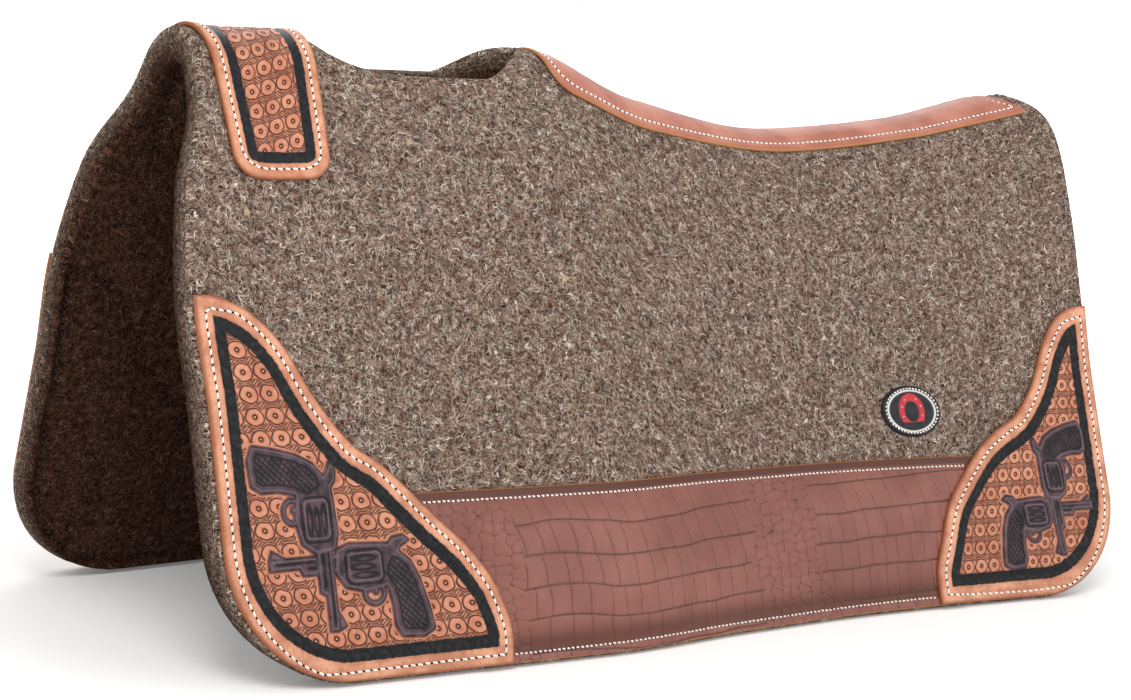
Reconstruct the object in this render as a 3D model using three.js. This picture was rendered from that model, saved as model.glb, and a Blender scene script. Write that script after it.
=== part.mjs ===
// A contoured western saddle pad: two thick wool felt panels sewn edge to edge along a curved spine, with a
// tooled leather wither strap, a plain leather spine strip, four tooled corner leathers, two side bands, a
// label patch and the threads that sew them on. Millimetres, +Z up, front (withers) towards -Y, the horse's
// left side towards +X. The origin is on the floor, midway between the sides and midway along the length.
import * as THREE from "three";

// ---- Driving dimensions ----
const LENGTH = 813; // 32 in, front to rear at the widest place
const FELT = 25; // thickness of the felt
const TOOLED = 3.2; // thickness of the tooled leather
const PLAIN = 2.6; // thickness of the spine strip
const BAND = 2.2; // thickness of the side bands
const LABEL = 2; // thickness of the label patch
const THREAD_RADIUS = 0.6;
const GAP = 0.9; // air left between two layers
const STITCH_INSET = 6.5; // from a leather's edge to its stitch row

// Cross-section of the outer surface, from the spine down: crown arc, slope, knee arc, flap.
const CROWN_ARC = 46;
const KNEE_START = 100;
const KNEE_ARC = 60;
const SLOPE_ANGLE = { front: 62, rear: 58 }; // degrees below level
const FLAP_ANGLE = { front: 73, rear: 66 };

// The spine fold, in degrees between the two halves, counted from the rest shape.
const FOLD_OPENS = 30;
const FOLD_CLOSES = 10;
const FOLD_CLEARANCE = 0.4;

const HALF_LENGTH = LENGTH / 2;
const CORNER_RADIUS = { front: 88, rear: 80 };

// The relief cut-out behind the withers: elliptical at the front, then level, then a ramp up at the rear.
const NOTCH = { depth: 46, middle: -194, frontLength: 86, power: 2.6, rampStart: -148, rampLength: 48 };

// ---- Small maths ----
const radians = (degrees) => (degrees * Math.PI) / 180;
const mix = (a, b, t) => a + (b - a) * t;

// A monotone cubic through [position, value] knots, level past both ends.
function smooth(knots) {
  const slopes = knots.slice(1).map(([x, v], i) => (v - knots[i][1]) / (x - knots[i][0]));
  const tangents = knots.map((_, i) => {
    const before = slopes[i - 1] ?? 0;
    const after = slopes[i] ?? 0;
    return before * after > 0 ? (2 * before * after) / (before + after) : 0;
  });
  return (at) => {
    const x = Math.min(Math.max(at, knots[0][0]), knots[knots.length - 1][0]);
    const i = Math.max(1, knots.findIndex(([k]) => k >= x));
    const [x0, v0] = knots[i - 1];
    const [x1, v1] = knots[i];
    const width = x1 - x0;
    const t = (x - x0) / width;
    const rise = (tangents[i - 1] * (1 - t) ** 2 * t - tangents[i] * (1 - t) * t ** 2) * width;
    return v0 * (1 + 2 * t) * (1 - t) ** 2 + v1 * t ** 2 * (3 - 2 * t) + rise;
  };
}

// How far a rounded corner draws an edge in, at a distance from the corner's tip.
const cornerInset = (distance, radius) =>
  distance >= radius ? 0 : radius - Math.sqrt(radius ** 2 - (radius - distance) ** 2);

// ---- The pad's surface ----
const spineHeight = smooth([[-406, 403.5], [-330, 396], [-280, 396], [-120, 394], [0, 353.5], [130, 331],
  [260, 340], [380, 363.5], [406, 370]]);
const alongPad = (ends, y) => radians(mix(ends.front, ends.rear, (y + HALF_LENGTH) / LENGTH));

// Position and slope of the outer surface at distance s from the spine, in the cross-section at y.
function section(y, s) {
  const slope = alongPad(SLOPE_ANGLE, y);
  const flap = alongPad(FLAP_ANGLE, y);
  const stretches = [
    [CROWN_ARC, 0, slope],
    [KNEE_START - CROWN_ARC, slope, slope],
    [KNEE_ARC, slope, flap],
    [Infinity, flap, flap],
  ];
  let x = 0;
  let z = spineHeight(y);
  let left = s;
  for (const [length, from, to] of stretches) {
    const run = Math.min(left, length);
    const angle = from === to ? from : mix(from, to, run / length);
    if (from === to) {
      x += run * Math.cos(from);
      z -= run * Math.sin(from);
    } else {
      const radius = length / (to - from);
      x += radius * (Math.sin(angle) - Math.sin(from));
      z -= radius * (Math.cos(from) - Math.cos(angle));
    }
    left -= run;
    if (left <= 0) return { x, z, angle };
  }
}

// A point at distance s from the spine (negative on the right side), raised by offset from the felt's face.
function padPoint(y, s, offset) {
  const { x, z, angle } = section(y, Math.abs(s));
  const outward = x + offset * Math.sin(angle);
  return new THREE.Vector3(s < 0 ? -outward : outward, y, z + offset * Math.cos(angle));
}

// The distance from the spine at which the surface, raised by offset, comes down to height z on the flap.
function reach(y, z, offset) {
  const kneeEnd = KNEE_START + KNEE_ARC;
  const { z: kneeHeight, angle } = section(y, kneeEnd);
  return kneeEnd + (kneeHeight + offset * Math.cos(angle) - z) / Math.sin(angle);
}
const flapPoint = (y, z, offset) => padPoint(y, reach(y, z, offset), offset);

// The pad's front and rear edges, as y against the share of the way from the spine to the floor.
const frontShape = smooth([[0, -371], [0.14, -375], [0.29, -397], [0.48, -HALF_LENGTH], [0.62, -404], [1, -404]]);
const rearShape = smooth([[0, 386], [0.14, HALF_LENGTH], [0.28, 397], [0.47, 384], [0.61, 375], [1, 364]]);
const DROP = { front: reach(-400, 0, 0), rear: reach(390, 0, 0) };
const frontEdge = (share) => frontShape(share) + cornerInset((1 - share) * DROP.front, CORNER_RADIUS.front);
const rearEdge = (share) => rearShape(share) - cornerInset((1 - share) * DROP.rear, CORNER_RADIUS.rear);
const shareAt = (y, z) => reach(y, z, 0) / reach(y, 0, 0);

// ---- Makers of closed solids ----
// A sheet: place(u, v, isOuter) puts each grid point. u runs rearwards and v up towards the spine.
function sheet(columns, rows, place) {
  const geometry = new THREE.BoxGeometry(1, 1, 1, columns, rows, 1);
  const position = geometry.getAttribute("position");
  for (let i = 0; i < position.count; i++) {
    const point = place(position.getX(i) + 0.5, position.getY(i) + 0.5, position.getZ(i) > 0);
    position.setXYZ(i, point.x, point.y, point.z);
  }
  geometry.computeVertexNormals();
  return geometry;
}

// A sewing thread along a row of points.
function thread(points, steps) {
  const side = THREAD_RADIUS * 1.5;
  const crossSection = new THREE.Shape([
    new THREE.Vector2(-side / 2, -side / 2),
    new THREE.Vector2(side / 2, -side / 2),
    new THREE.Vector2(0, side / 2),
  ]);
  const extrudePath = new THREE.CatmullRomCurve3(points, false, "centripetal");
  return new THREE.ExtrudeGeometry(crossSection, { steps, extrudePath, bevelEnabled: false });
}
const overLeather = (thickness) => GAP + thickness + GAP + THREAD_RADIUS;

// Points evenly spread along a polyline of [y, z] or [y, s] corners, at most `spacing` apart.
function spread(corners, spacing) {
  const points = [corners[0]];
  corners.slice(1).forEach((corner, i) => {
    const from = corners[i];
    const count = Math.max(1, Math.round(Math.hypot(corner[0] - from[0], corner[1] - from[1]) / spacing));
    for (let n = 1; n <= count; n++) {
      points.push([mix(from[0], corner[0], n / count), mix(from[1], corner[1], n / count)]);
    }
  });
  return points;
}

// ---- Materials ----
const finish = (color, roughness) => new THREE.MeshStandardMaterial({ color, roughness, metalness: 0 });
const FELT_BROWN = finish("#6d5d54", 0.95);
const TOOLED_TAN = finish("#c4764d", 0.5);
const PLAIN_RUSSET = finish("#b9664a", 0.45);
const EMBOSSED_BROWN = finish("#7d4f46", 0.4);
const PATCH_BLACK = finish("#1b1c20", 0.5);
const THREAD_WHITE = finish("#e9e6df", 0.7);

const pad = new THREE.Group();
function add(name, geometry, material, mirrored = false) {
  const mesh = new THREE.Mesh(geometry, material);
  mesh.name = name;
  if (mirrored) mesh.scale.x = -1;
  pad.add(mesh);
}
// Adds a piece to the left side, and its mirror image to the right side.
function addPair(name, geometry, material) {
  add(`${name}_left`, geometry, material);
  add(`${name}_right`, geometry, material, true);
}

// ---- Felt panels ----
// The fold turns about the chord of the curved spine, through the middle of the felt at both ends.
const chordHeight = (y) => {
  const front = spineHeight(frontEdge(0)) - FELT / 2;
  const rear = spineHeight(rearEdge(0)) - FELT / 2;
  return mix(front, rear, (y - frontEdge(0)) / (rearEdge(0) - frontEdge(0)));
};

// How far down from the spine the cut-out reaches at y.
function notchReach(y) {
  const forward = Math.min(Math.max((NOTCH.middle - y) / NOTCH.frontLength, 0), 1);
  const backward = Math.min(Math.max((y - NOTCH.rampStart) / NOTCH.rampLength, 0), 1);
  return NOTCH.depth * (1 - forward ** NOTCH.power) ** (1 / NOTCH.power) * (1 - backward ** 1.5);
}

// Where a panel's top edge starts, as a distance from the spine: at the fold's clearance, or at the cut-out.
function topStart(y, depth) {
  const above = spineHeight(y) - depth - chordHeight(y);
  const turn = radians(above > 0 ? FOLD_OPENS : FOLD_CLOSES) / 2;
  const halfGap = FOLD_CLEARANCE + Math.abs(above) * Math.tan(turn);
  const crownRadius = CROWN_ARC / alongPad(SLOPE_ANGLE, y);
  const seam = crownRadius * Math.asin(halfGap / (crownRadius - depth));
  return Math.max(seam, notchReach(y));
}

function feltPanel() {
  // Rows stand closer together on the crown, the knee and the rounded foot.
  const rows = [0, 0.024, 0.047, 0.07, 0.094, 0.12, 0.18, 0.24, 0.28, 0.32, 0.37, 0.5, 0.65, 0.8, 0.86, 0.92]
    .concat([0.965, 1]);
  const columns = 38;
  // Columns stand closer together along the cut-out, a quarter of the way back.
  const columnShare = smooth([[0, 0], [0.18, 0.11], [0.55, 0.37], [1, 1]]);
  return sheet(columns, rows.length - 1, (u, v, isOuter) => {
    const share = rows[Math.round((1 - v) * (rows.length - 1))];
    const y = mix(frontEdge(share), rearEdge(share), columnShare(u));
    const depth = isOuter ? 0 : FELT;
    const top = topStart(y, depth);
    return padPoint(y, mix(top, reach(y, 0, -depth), share), -depth);
  });
}
addPair("felt_panel", feltPanel(), FELT_BROWN);

// ---- Wither strap ----
const STRAP = { front: -363, rear: -282, taper: 11, halfDrop: 122, corner: 16 };
function strapPoint(u, s, offset, inset) {
  const fromEnd = STRAP.halfDrop - inset - Math.abs(s);
  const rounding = cornerInset(fromEnd, STRAP.corner - inset / 2);
  const taper = (STRAP.taper * Math.abs(s)) / STRAP.halfDrop;
  return padPoint(mix(STRAP.front + inset + rounding, STRAP.rear - inset - taper - rounding, u), s, offset);
}
const oneSide = [0.04, 0.12, 0.2, 0.28, 0.36, 0.44, 0.58, 0.72, 0.84, 0.92, 0.97, 1];
const strapStations = [...oneSide.map((share) => -share).reverse(), ...oneSide];
add(
  "wither_strap",
  sheet(4, strapStations.length - 1, (u, v, isOuter) => {
    const s = -strapStations[Math.round(v * (strapStations.length - 1))] * STRAP.halfDrop;
    return strapPoint(u, s, isOuter ? GAP + TOOLED : GAP, 0);
  }),
  TOOLED_TAN,
);

// A row round the strap: down one long edge, across the end, back up the other, and across the second end.
function strapRow() {
  const reachOut = STRAP.halfDrop - STITCH_INSET;
  const lengthways = [-1, -0.94, -0.7, -0.5, -0.35, -0.23, -0.11, 0, 0.11, 0.23, 0.35, 0.5, 0.7, 0.94, 1];
  const front = lengthways.map((share) => [0, share * reachOut]);
  const rear = lengthways.map((share) => [1, -share * reachOut]);
  const acrossEnd = [[0.3, reachOut], [0.7, reachOut]];
  const acrossStart = [[0.7, -reachOut], [0.3, -reachOut]];
  return [...front, ...acrossEnd, ...rear, ...acrossStart].map(([u, s]) =>
    strapPoint(u, s, overLeather(TOOLED), STITCH_INSET),
  );
}
add("wither_strap_thread", thread(strapRow(), 66), THREAD_WHITE);

// ---- Spine strip ----
const stripHalfWidth = smooth([[-92, 46], [0, 41], [120, 32], [300, 30], [384, 34]]);
const STRIP = { front: -92, rear: 366, tail: 18, corner: 16 };
// The front end has rounded corners. The rear end is a swallow tail: its corners reach further back than
// its middle.
function stripPoint(u, across, offset, inset) {
  const fromSide = (1 - Math.abs(across)) * (stripHalfWidth(STRIP.front) - inset);
  const front = STRIP.front + inset + cornerInset(fromSide, STRIP.corner - inset / 2);
  const rear = STRIP.rear + STRIP.tail * Math.abs(across) ** 1.5 - inset * 1.6;
  const y = mix(front, rear, u);
  return padPoint(y, across * (stripHalfWidth(y) - inset), offset);
}
const stripStations = [-1, -0.93, -0.8, -0.55, -0.28, 0, 0.28, 0.55, 0.8, 0.93, 1];
add(
  "spine_strip",
  sheet(30, stripStations.length - 1, (u, v, isOuter) => {
    const across = -stripStations[Math.round(v * (stripStations.length - 1))];
    return stripPoint(u, across, isOuter ? GAP + PLAIN : GAP, 0);
  }),
  PLAIN_RUSSET,
);
function stripRow() {
  const side = (across, backwards) =>
    Array.from({ length: 24 }, (_, i) => [backwards ? 1 - i / 23 : i / 23, across]);
  const across = [0.85, 0.5, 0.25, 0, -0.25, -0.5, -0.85];
  const rearEnd = across.map((share) => [1, share]);
  const frontEnd = across.slice(0, -1).map((share) => [0, -share]);
  return [...side(1, false), ...rearEnd, ...side(-1, true), ...frontEnd].map(([u, share]) =>
    stripPoint(u, share, overLeather(PLAIN), STITCH_INSET),
  );
}
add("spine_strip_thread", thread(stripRow(), 96), THREAD_WHITE);

// ---- Corner leathers and side bands ----
const LEATHER_INSET = 1.5; // from the felt's edge to the leather's edge
const BAND_TOP = { front: 111, rear: 102 }; // height of the side band's upper edge at its two ends
const TUCK = 14; // how far a side band runs under a corner leather
const BAND_LIFT = BAND + GAP;

// Each corner leather's inner edge, as y against height: an ogee, a small step, and a second ogee.
const FRONT_CORNER = {
  top: 238,
  inner: smooth([[0, -204], [20, -202], [45, -208], [72, -225], [98, -252], [120, -274], [130, -284], [142, -302],
    [172, -326], [205, -345], [226, -366], [235, -384], [238, -392]]),
  outer: (z) => frontEdge(shareAt(-400, z)) + LEATHER_INSET,
};
const REAR_CORNER = {
  top: 207,
  inner: smooth([[0, 184], [20, 185], [45, 196], [68, 208], [92, 231], [108, 250], [118, 268], [128, 290],
    [150, 313], [180, 333], [198, 350], [205, 364], [207, 370]]),
  outer: (z) => rearEdge(shareAt(390, z)) - LEATHER_INSET,
};

// The corner leather rides over the side band's tucked end, and comes down to the felt beyond it.
const liftBeside = smooth([[TUCK + 4, BAND_LIFT], [TUCK + 18, 0]]);
const liftBelow = smooth([[BAND_TOP.front + 5, 1], [BAND_TOP.front + 20, 0]]);
const cornerLift = (corner, y, z) => liftBeside(Math.abs(y - corner.inner(z))) * liftBelow(z);

const cornerColumns = (corner, z) => {
  const width = Math.abs(corner.inner(z) - corner.outer(z));
  const tuck = Math.min((TUCK + 4) / width, 0.4);
  const ramp = Math.min((TUCK + 18) / width, 0.7);
  return [0, tuck, ramp, mix(ramp, 1, 0.5), 1];
};
function cornerLeather(corner) {
  const heights = [0.004, 0.03, 0.07, 0.12, 0.2, 0.3, 0.4, 0.46, 0.52, 0.6, 0.72, 0.84, 0.92, 0.965, 0.99, 1];
  const rearwards = corner.inner(0) > corner.outer(0);
  return sheet(4, heights.length - 1, (u, v, isOuter) => {
    const z = heights[Math.round(v * (heights.length - 1))] * corner.top;
    const column = Math.round((rearwards ? 1 - u : u) * 4);
    const y = mix(corner.inner(z), corner.outer(z), cornerColumns(corner, z)[column]);
    return flapPoint(y, z, GAP + cornerLift(corner, y, z) + (isOuter ? TOOLED : 0));
  });
}
function cornerRow(corner) {
  const side = Math.sign(corner.inner(0) - corner.outer(0));
  const heights = [STITCH_INSET + 1.5, 14, 26, 44, 66, 92, 116, 128, 146, 170, 194].concat(
    [24, 14].map((below) => corner.top - below),
  );
  const up = heights.map((z) => [corner.inner(z) - side * STITCH_INSET * 1.3, z]);
  const down = [...heights].reverse().map((z) => [corner.outer(z) + side * STITCH_INSET, z]);
  const foot = spread([down[down.length - 1], up[0]], 30).slice(1, -1);
  return [...up, ...down, ...foot].map(([y, z]) =>
    flapPoint(y, z, overLeather(TOOLED) + cornerLift(corner, y, z)),
  );
}
addPair("front_corner", cornerLeather(FRONT_CORNER), TOOLED_TAN);
addPair("front_corner_thread", thread(cornerRow(FRONT_CORNER), 62), THREAD_WHITE);
addPair("rear_corner", cornerLeather(REAR_CORNER), TOOLED_TAN);
addPair("rear_corner_thread", thread(cornerRow(REAR_CORNER), 62), THREAD_WHITE);

// A side band runs from under the front corner leather to under the rear one.
const bandY = (u, z) => mix(FRONT_CORNER.inner(z) - TUCK, REAR_CORNER.inner(z) + TUCK, u);
addPair(
  "side_band",
  sheet(20, 5, (u, v, isOuter) => {
    const z = mix(1, mix(BAND_TOP.front, BAND_TOP.rear, u), v);
    return flapPoint(bandY(u, z), z, isOuter ? GAP + BAND : GAP);
  }),
  EMBOSSED_BROWN,
);
function bandRow(frontHeight, rearHeight) {
  const clear = 6; // the row stops short of the corner leathers
  const from = FRONT_CORNER.inner(frontHeight) + clear;
  const to = REAR_CORNER.inner(rearHeight) - clear;
  return Array.from({ length: 17 }, (_, i) =>
    flapPoint(mix(from, to, i / 16), mix(frontHeight, rearHeight, i / 16), overLeather(BAND)),
  );
}
const upperRow = bandRow(BAND_TOP.front - STITCH_INSET, BAND_TOP.rear - STITCH_INSET);
addPair("side_band_upper_thread", thread(upperRow, 24), THREAD_WHITE);
addPair("side_band_lower_thread", thread(bandRow(STITCH_INSET, STITCH_INSET), 24), THREAD_WHITE);

// ---- Label patch ----
const PATCH = { y: 192, z: 136, halfWidth: 28, halfHeight: 18 };
function patchPoint(across, up, offset) {
  return flapPoint(PATCH.y + across * PATCH.halfWidth, PATCH.z + up * PATCH.halfHeight, offset);
}
function labelPatch() {
  const geometry = new THREE.CylinderGeometry(1, 1, 1, 24, 1);
  geometry.rotateX(Math.PI / 2); // the disc's axis becomes +Z, with X across and Y up
  const position = geometry.getAttribute("position");
  for (let i = 0; i < position.count; i++) {
    const offset = position.getZ(i) > 0 ? GAP + LABEL : GAP;
    const point = patchPoint(position.getX(i), position.getY(i), offset);
    position.setXYZ(i, point.x, point.y, point.z);
  }
  return geometry;
}
add("label_patch", labelPatch(), PATCH_BLACK);
const patchRow = Array.from({ length: 20 }, (_, i) => {
  const turn = (i / 20) * 2 * Math.PI;
  return patchPoint(Math.cos(turn) * 0.9, Math.sin(turn) * 0.86, overLeather(LABEL));
});
add("label_patch_thread", thread(patchRow, 24), THREAD_WHITE);

// ---- Spine seams ----
// Zigzag threads under the crown hold the two panels together, before and behind the cut-out.
const SEAM = { halfWidth: 9, pitch: 15 };
function seam(from, to) {
  const crossings = Math.round((to - from) / SEAM.pitch);
  const points = Array.from({ length: crossings + 1 }, (_, i) => {
    const y = mix(from, to, i / crossings);
    const crownRadius = CROWN_ARC / alongPad(SLOPE_ANGLE, y);
    const s = (SEAM.halfWidth * crownRadius) / (crownRadius - FELT);
    return padPoint(y, i % 2 ? s : -s, -(FELT + GAP + THREAD_RADIUS));
  });
  return thread(points, crossings * 2);
}
add("front_seam_thread", seam(-364, -286), THREAD_WHITE);
add("rear_seam_thread", seam(-100, 376), THREAD_WHITE);

export default pad;
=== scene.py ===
"""Looks of the contoured western saddle pad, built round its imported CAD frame.

Lengths are in millimetres up to make_mesh(), which turns them into metres. A place on the pad is given as y
(front to rear) and s (distance down from the spine over the felt's outer face), or as y and height z.
"""
import bpy
import numpy as np
from itertools import product
from mathutils import Matrix, Vector


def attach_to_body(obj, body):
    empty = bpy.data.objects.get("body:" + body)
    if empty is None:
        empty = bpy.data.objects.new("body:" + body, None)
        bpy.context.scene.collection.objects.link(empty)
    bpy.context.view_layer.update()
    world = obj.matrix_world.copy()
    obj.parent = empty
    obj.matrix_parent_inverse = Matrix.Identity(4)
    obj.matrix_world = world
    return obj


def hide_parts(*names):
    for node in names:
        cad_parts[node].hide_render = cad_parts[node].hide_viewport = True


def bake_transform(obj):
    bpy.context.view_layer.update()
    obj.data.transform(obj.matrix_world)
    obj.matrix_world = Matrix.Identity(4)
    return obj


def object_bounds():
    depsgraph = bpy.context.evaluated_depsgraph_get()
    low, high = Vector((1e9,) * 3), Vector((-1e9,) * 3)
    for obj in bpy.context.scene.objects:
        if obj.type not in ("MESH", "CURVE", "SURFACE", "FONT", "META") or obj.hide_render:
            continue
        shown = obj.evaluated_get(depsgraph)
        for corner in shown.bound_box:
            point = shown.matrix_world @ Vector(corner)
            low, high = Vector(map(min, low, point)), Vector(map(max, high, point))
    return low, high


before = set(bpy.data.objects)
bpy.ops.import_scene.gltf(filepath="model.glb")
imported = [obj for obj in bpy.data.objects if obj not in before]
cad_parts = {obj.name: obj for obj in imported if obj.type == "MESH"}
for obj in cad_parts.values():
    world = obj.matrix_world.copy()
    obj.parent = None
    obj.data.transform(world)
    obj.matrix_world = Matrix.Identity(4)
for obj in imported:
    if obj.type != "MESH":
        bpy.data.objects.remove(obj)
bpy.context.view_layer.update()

# ---- the pad's surface, as in the CAD
LENGTH = 813.0
# Thickness of the felt and of the three kinds of leather.
FELT, TOOLED, PLAIN, BAND = 25.0, 3.2, 2.6, 2.2
# The cross-section, down from the spine: a round crown, a straight slope, a knee and a straight flap.
CROWN_ARC, KNEE_START, KNEE_ARC = 46.0, 100.0, 60.0
SLOPE_ANGLE, FLAP_ANGLE = (62.0, 58.0), (73.0, 66.0)
CORNER_RADIUS = (88.0, 80.0)
FRONT_STATION, REAR_STATION = -400.0, 390.0
NOTCH_DEPTH, NOTCH_POWER = 46.0, 2.6
NOTCH_MIDDLE, NOTCH_FRONT, NOTCH_RAMP, NOTCH_REAR = -194.0, 86.0, -148.0, 48.0
BAND_TOP_FRONT, BAND_TOP_REAR, TUCK = 111.0, 102.0, 14.0
# Gaps: leathers and side bands over the felt, lower edges over the floor, corners from the felt's edge.
SEAT, BAND_SEAT, FOOT, EDGE_GAP = 0.2, 0.1, 0.8, 1.5
# Stitch rows: distance from the leather's edge, depth in the tooled leathers, and length of a stitch.
STITCH_INSET, STITCH_SINK = 6.5, 0.3
TOOLED_PITCH, PLAIN_PITCH, BAND_PITCH, LABEL_PITCH = 5.5, 4.6, 3.7, 3.0
# The stamps' own size, before each leather's pitch stretches it.
STAMP = 14.0
# Grid lines of a leather's outer face for each one of its back, and values for "far from any line".
COARSE, FAR, NO_MOTIF = 6, 9.0, 8.0


def monotone(knots):
    """A monotone cubic through (position, value) knots, level past both ends."""
    xs, vs = np.array(knots, float).T
    slopes = np.diff(vs) / np.diff(xs)
    before, after = np.r_[0.0, slopes], np.r_[slopes, 0.0]
    total = np.where(before + after == 0, 1.0, before + after)
    tangent = np.where(before * after > 0, 2 * before * after / total, 0.0)

    def at(x):
        x = np.clip(np.asarray(x, float), xs[0], xs[-1])
        i = np.clip(np.searchsorted(xs, x), 1, len(xs) - 1)
        width = xs[i] - xs[i - 1]
        t = (x - xs[i - 1]) / width
        rise = (tangent[i - 1] * (1 - t) ** 2 * t - tangent[i] * (1 - t) * t**2) * width
        return vs[i - 1] * (1 + 2 * t) * (1 - t) ** 2 + vs[i] * t**2 * (3 - 2 * t) + rise

    return at


spine_height = monotone([(-406, 403.5), (-330, 396), (-280, 396), (-120, 394), (0, 353.5), (130, 331),
                         (260, 340), (380, 363.5), (406, 370)])
front_shape = monotone([(0, -371), (0.14, -375), (0.29, -397), (0.48, -406.5), (0.62, -404), (1, -404)])
rear_shape = monotone([(0, 386), (0.14, 406.5), (0.28, 397), (0.47, 384), (0.61, 375), (1, 364)])


def along_pad(ends, y):
    return np.radians(ends[0] + (ends[1] - ends[0]) * (np.asarray(y, float) + LENGTH / 2) / LENGTH)


def section(y, s):
    """Outer surface in the cross-section at y, s down from the spine: x, z and its slope."""
    slope, flap = along_pad(SLOPE_ANGLE, y), along_pad(FLAP_ANGLE, y)
    crown_radius, knee_radius = CROWN_ARC / slope, KNEE_ARC / (flap - slope)
    crown = np.clip(s, 0, CROWN_ARC) / CROWN_ARC * slope
    straight = np.clip(s - CROWN_ARC, 0, KNEE_START - CROWN_ARC)
    knee = slope + (flap - slope) * np.clip(s - KNEE_START, 0, KNEE_ARC) / KNEE_ARC
    below = np.maximum(s - KNEE_START - KNEE_ARC, 0)
    x = crown_radius * np.sin(crown) + straight * np.cos(slope)
    x = x + knee_radius * (np.sin(knee) - np.sin(slope)) + below * np.cos(flap)
    drop = crown_radius * (1 - np.cos(crown)) + straight * np.sin(slope)
    drop = drop + knee_radius * (np.cos(slope) - np.cos(knee)) + below * np.sin(flap)
    return x, spine_height(y) - drop, np.where(s < CROWN_ARC, crown, knee)


def pad_point(y, s, offset):
    """A point at distance s from the spine (negative on the other side), raised by offset."""
    y, s, offset = np.broadcast_arrays(np.asarray(y, float), np.asarray(s, float), np.asarray(offset, float))
    x, z, angle = section(y, np.abs(s))
    out = (x + offset * np.sin(angle)) * np.where(s < 0, -1.0, 1.0)
    return stack(out, y, z + offset * np.cos(angle))


def pad_normal(y, s):
    angle = section(y, np.abs(s))[2]
    return stack(np.sin(angle) * np.where(s < 0, -1.0, 1.0), np.zeros_like(angle), np.cos(angle))


def reach(y, z, offset=0.0):
    """The distance from the spine at which the surface, raised by offset, comes down to height z."""
    knee_end = KNEE_START + KNEE_ARC
    _, height, angle = section(y, np.full_like(np.asarray(y, float), knee_end))
    return knee_end + (height + offset * np.cos(angle) - z) / np.sin(angle)


def corner_inset(distance, radius):
    near = np.clip(radius - distance, 0, radius)
    return radius - np.sqrt(radius**2 - near**2)


DROP_FRONT, DROP_REAR = float(reach(FRONT_STATION, 0.0)), float(reach(REAR_STATION, 0.0))


def front_edge(share):
    return front_shape(share) + corner_inset((1 - share) * DROP_FRONT, CORNER_RADIUS[0])


def rear_edge(share):
    return rear_shape(share) - corner_inset((1 - share) * DROP_REAR, CORNER_RADIUS[1])


def notch_reach(y):
    """How far down from the spine the cut-out behind the withers reaches."""
    forward = np.clip((NOTCH_MIDDLE - y) / NOTCH_FRONT, 0, 1)
    backward = np.clip((y - NOTCH_RAMP) / NOTCH_REAR, 0, 1)
    return NOTCH_DEPTH * (1 - forward**NOTCH_POWER) ** (1 / NOTCH_POWER) * (1 - backward**1.5)


def band_top(y):
    """Height of the side band's upper edge."""
    return np.interp(y, (-273.0, 256.0), (BAND_TOP_FRONT, BAND_TOP_REAR))


class Corner:
    """One corner leather: its ogee inner edge and its outer edge, as y against height, and its tooling."""

    def __init__(self, kind, top, knots, stamp_pitch, motif):
        self.kind, self.top, self.inner = kind, top, monotone(knots)
        self.stamp_pitch, self.motif = stamp_pitch, motif
        self.side = 1.0 if kind == "rear" else -1.0

    def outer(self, z):
        rear = self.kind == "rear"
        station = np.full_like(np.asarray(z, float), REAR_STATION if rear else FRONT_STATION)
        share = reach(station, z) / reach(station, 0.0)
        return rear_edge(share) - EDGE_GAP if rear else front_edge(share) + EDGE_GAP

    def lift(self, y, z):
        """How far the leather rides up over the side band's tucked end."""
        beside = step(TUCK + 16 - np.abs(y - self.inner(z)), 0, 14)
        return BAND * beside * step(band_top(y) + 21 - z, 0, 16)

    def row_lift(self, row):
        """Height over the felt of the (y, s) places of the leather's stitch row."""
        y, s = row.T
        return SEAT + TOOLED - STITCH_SINK + self.lift(y, section(y, s)[1])


FRONT = Corner("front", 238.0, [(0, -204), (20, -202), (45, -208), (72, -225), (98, -252), (120, -274),
                                (130, -284), (142, -302), (172, -326), (205, -345), (226, -366), (235, -384),
                                (238, -392)], (14.8, 13.6), (-331.0, 32.0, -373.0, 74.0, 1.12))
REAR = Corner("rear", 207.0, [(0, 184), (20, 185), (45, 196), (68, 208), (92, 231), (108, 250), (118, 268),
                              (128, 290), (150, 313), (180, 333), (198, 350), (205, 364), (207, 370)],
              (12.4, 12.4), (309.0, 28.0, 345.0, 62.0, 0.93))

STRAP_FRONT, STRAP_REAR, STRAP_TAPER, STRAP_DROP, STRAP_CORNER = -363.0, -282.0, 11.0, 122.0, 16.0
STRIP_FRONT, STRIP_REAR, STRIP_TAIL, STRIP_CORNER = -92.0, 366.0, 18.0, 16.0
strip_half_width = monotone([(-92, 46), (0, 41), (120, 32), (300, 30), (384, 34)])
LABEL_Y, LABEL_Z, LABEL_WIDE, LABEL_HIGH = 192.0, 136.0, 28.0, 18.0


def strap_yz(u, s, inset=0.0):
    rounding = corner_inset(STRAP_DROP - inset - np.abs(s), STRAP_CORNER - inset / 2)
    taper = STRAP_TAPER * np.abs(s) / STRAP_DROP
    low, high = STRAP_FRONT + inset + rounding, STRAP_REAR - inset - taper - rounding
    return low + (high - low) * u


def strip_ys(u, across, inset=0.0):
    """Place on the spine strip: u along it, across from -1 to 1. Its rear end is a swallow tail."""
    from_side = (1 - np.abs(across)) * (strip_half_width(STRIP_FRONT) - inset)
    front = STRIP_FRONT + inset + corner_inset(from_side, STRIP_CORNER - inset / 2)
    rear = STRIP_REAR + STRIP_TAIL * np.abs(across) ** 1.5 - inset * 1.6
    y = front + (rear - front) * u
    return y, across * (strip_half_width(y) - inset)


# ---- small tools
def stack(*parts):
    """Arrays side by side along a new last axis."""
    return np.stack(parts, -1)


def grid(rows, along):
    return np.meshgrid(rows, along, indexing="ij")


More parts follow.
